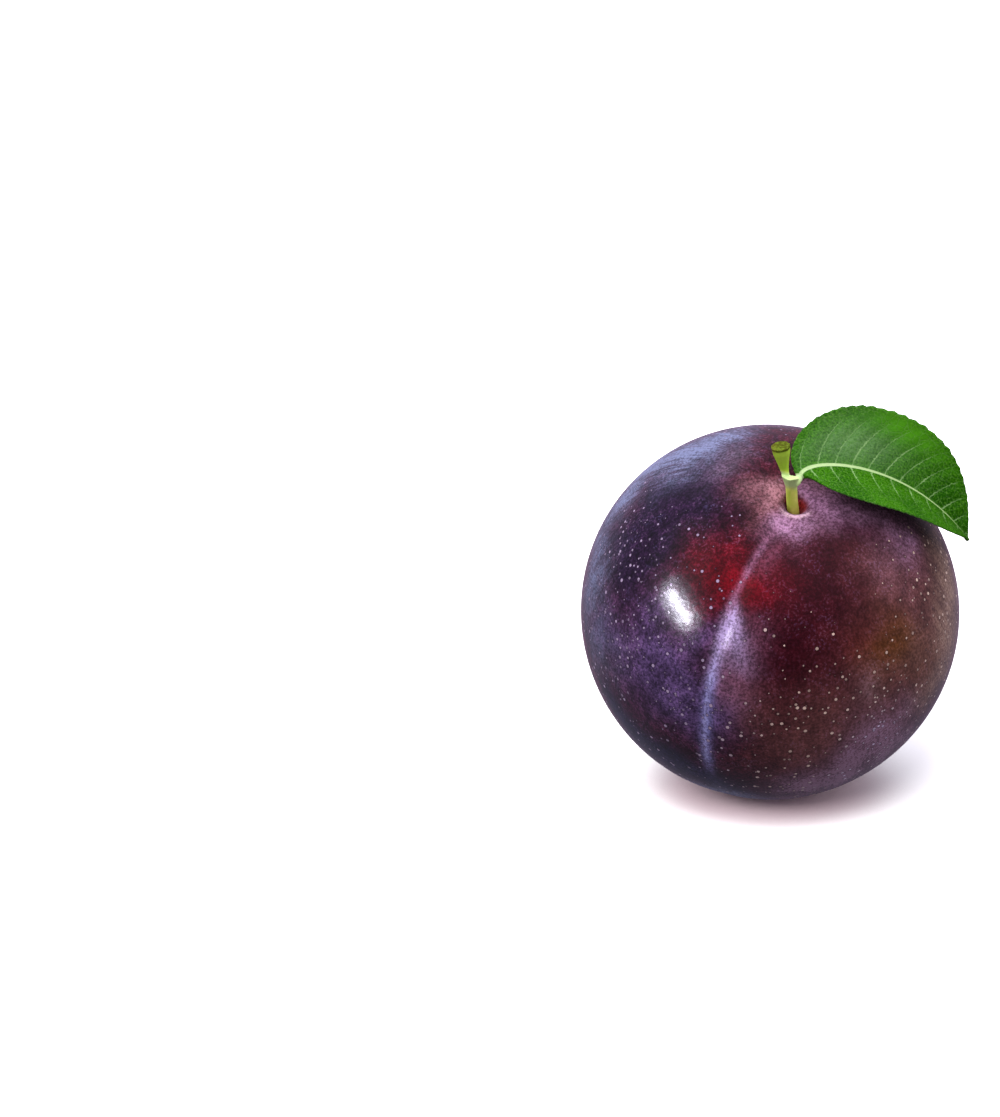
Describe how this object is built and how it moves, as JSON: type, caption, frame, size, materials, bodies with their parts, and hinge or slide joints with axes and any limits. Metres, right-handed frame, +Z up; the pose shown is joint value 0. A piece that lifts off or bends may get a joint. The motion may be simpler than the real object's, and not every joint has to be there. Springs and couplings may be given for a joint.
{
  "type": "plum",
  "caption": "Round ripe plum with a suture crease, a short forked stalk and a toothed leaf, resting on a small flat spot.",
  "frame": {"origin": "centre of the flat spot that the plum rests on, straight below the middle of the fruit", "axes": "+Z up from the resting plane, -Y the front that the stalk end leans towards, +X the side that the leaf arches over"},
  "size_m": [0.0614, 0.0596, 0.0649],
  "materials": {
    "skin": "waxy purple-black skin with pale bloom",
    "stalk": "smooth green bark, cut end",
    "leaf": "satin green blade, paler below"
  },
  "bodies": {
    "root": {"fruit": "skin", "stalk": "stalk", "leaf": "leaf"}
  },
  "joints": []
}
